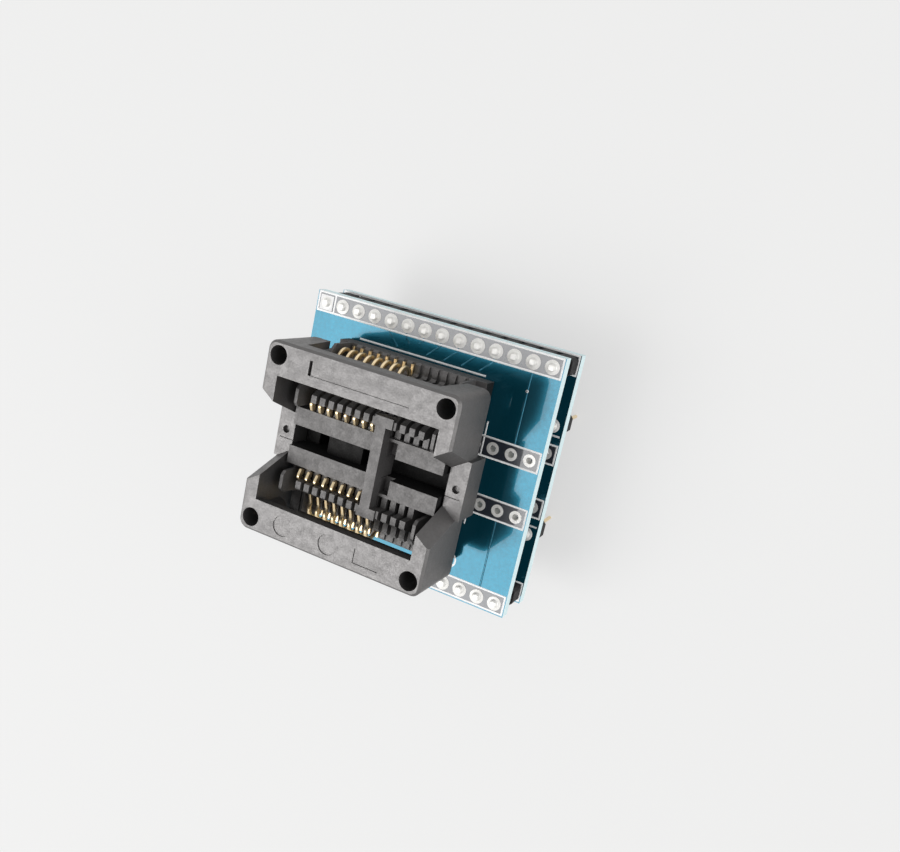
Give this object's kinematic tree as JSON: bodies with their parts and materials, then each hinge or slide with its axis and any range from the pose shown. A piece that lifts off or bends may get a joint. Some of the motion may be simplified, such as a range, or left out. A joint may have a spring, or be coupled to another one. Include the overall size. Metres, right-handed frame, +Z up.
{
  "type": "ic programming adapter",
  "caption": "Stacked circuit boards joined by pin strips, with an open-top chip socket whose cover presses down to open its contacts, and plug-in pins below.",
  "frame": {"origin": "middle of the boards, level with the tips of the plug-in pins", "axes": "+X along the pin rows away from pin 1, +Y towards the row with the square pin 1 pad, +Z up out of the socket"},
  "size_m": [0.0362, 0.0346, 0.0313],
  "materials": {
    "solder_mask": "glossy blue solder mask on glass-fibre board",
    "tinned": "bright solder and tinned copper",
    "gold": "gold-plated stamped metal",
    "header_plastic": "black moulded strip",
    "socket_plastic": "dark grey glass-filled moulding"
  },
  "bodies": {
    "adapter": {"upper_board": "solder_mask", "lower_board": "solder_mask", "upper_open_pads": "tinned", "lower_open_pads": "tinned", "link_strip_rear": "header_plastic", "link_strip_front": "header_plastic", "link_pins_rear": "tinned", "link_pins_front": "tinned", "upper_solder_rear": "tinned", "upper_solder_front": "tinned", "lower_solder_rear": "tinned", "lower_solder_front": "tinned", "plug_strip_rear": "header_plastic", "plug_strip_front": "header_plastic", "plug_pins_rear": "gold", "plug_pins_front": "gold", "plug_solder_rear": "tinned", "plug_solder_front": "tinned", "tail_solder_rear": "tinned", "tail_solder_front": "tinned", "socket_base": "socket_plastic", "chip_stop": "socket_plastic", "contact_springs_rear": "gold", "contact_springs_front": "gold"},
    "cover": {"actuating_cover": "socket_plastic"},
    "rear_contacts": {"contact_arms_rear": "gold"},
    "front_contacts": {"contact_arms_front": "gold"}
  },
  "joints": [
    {"name": "cover_press", "type": "slide", "parent": "adapter", "child": "cover", "axis": [0, 0, -1], "range_m": [0, 0.002], "stiffness_N_per_m": 300, "springref_m": -0.0001},
    {"name": "rear_contacts_tilt", "type": "hinge", "parent": "adapter", "child": "rear_contacts", "pos_m": [-0.00107, 0.0074, 0.02074], "axis": [-1, 0, 0], "range_deg": [0, 15], "deforming": ["contact_springs_rear"]},
    {"name": "front_contacts_tilt", "type": "hinge", "parent": "adapter", "child": "front_contacts", "pos_m": [-0.00107, -0.0074, 0.02074], "axis": [1, 0, 0], "range_deg": [0, 15], "deforming": ["contact_springs_front"]}
  ],
  "couplings": [
    {"joint": "rear_contacts_tilt", "follows": "cover_press", "rad_per_m": 130.8},
    {"joint": "front_contacts_tilt", "follows": "cover_press", "rad_per_m": 130.8}
  ]
}
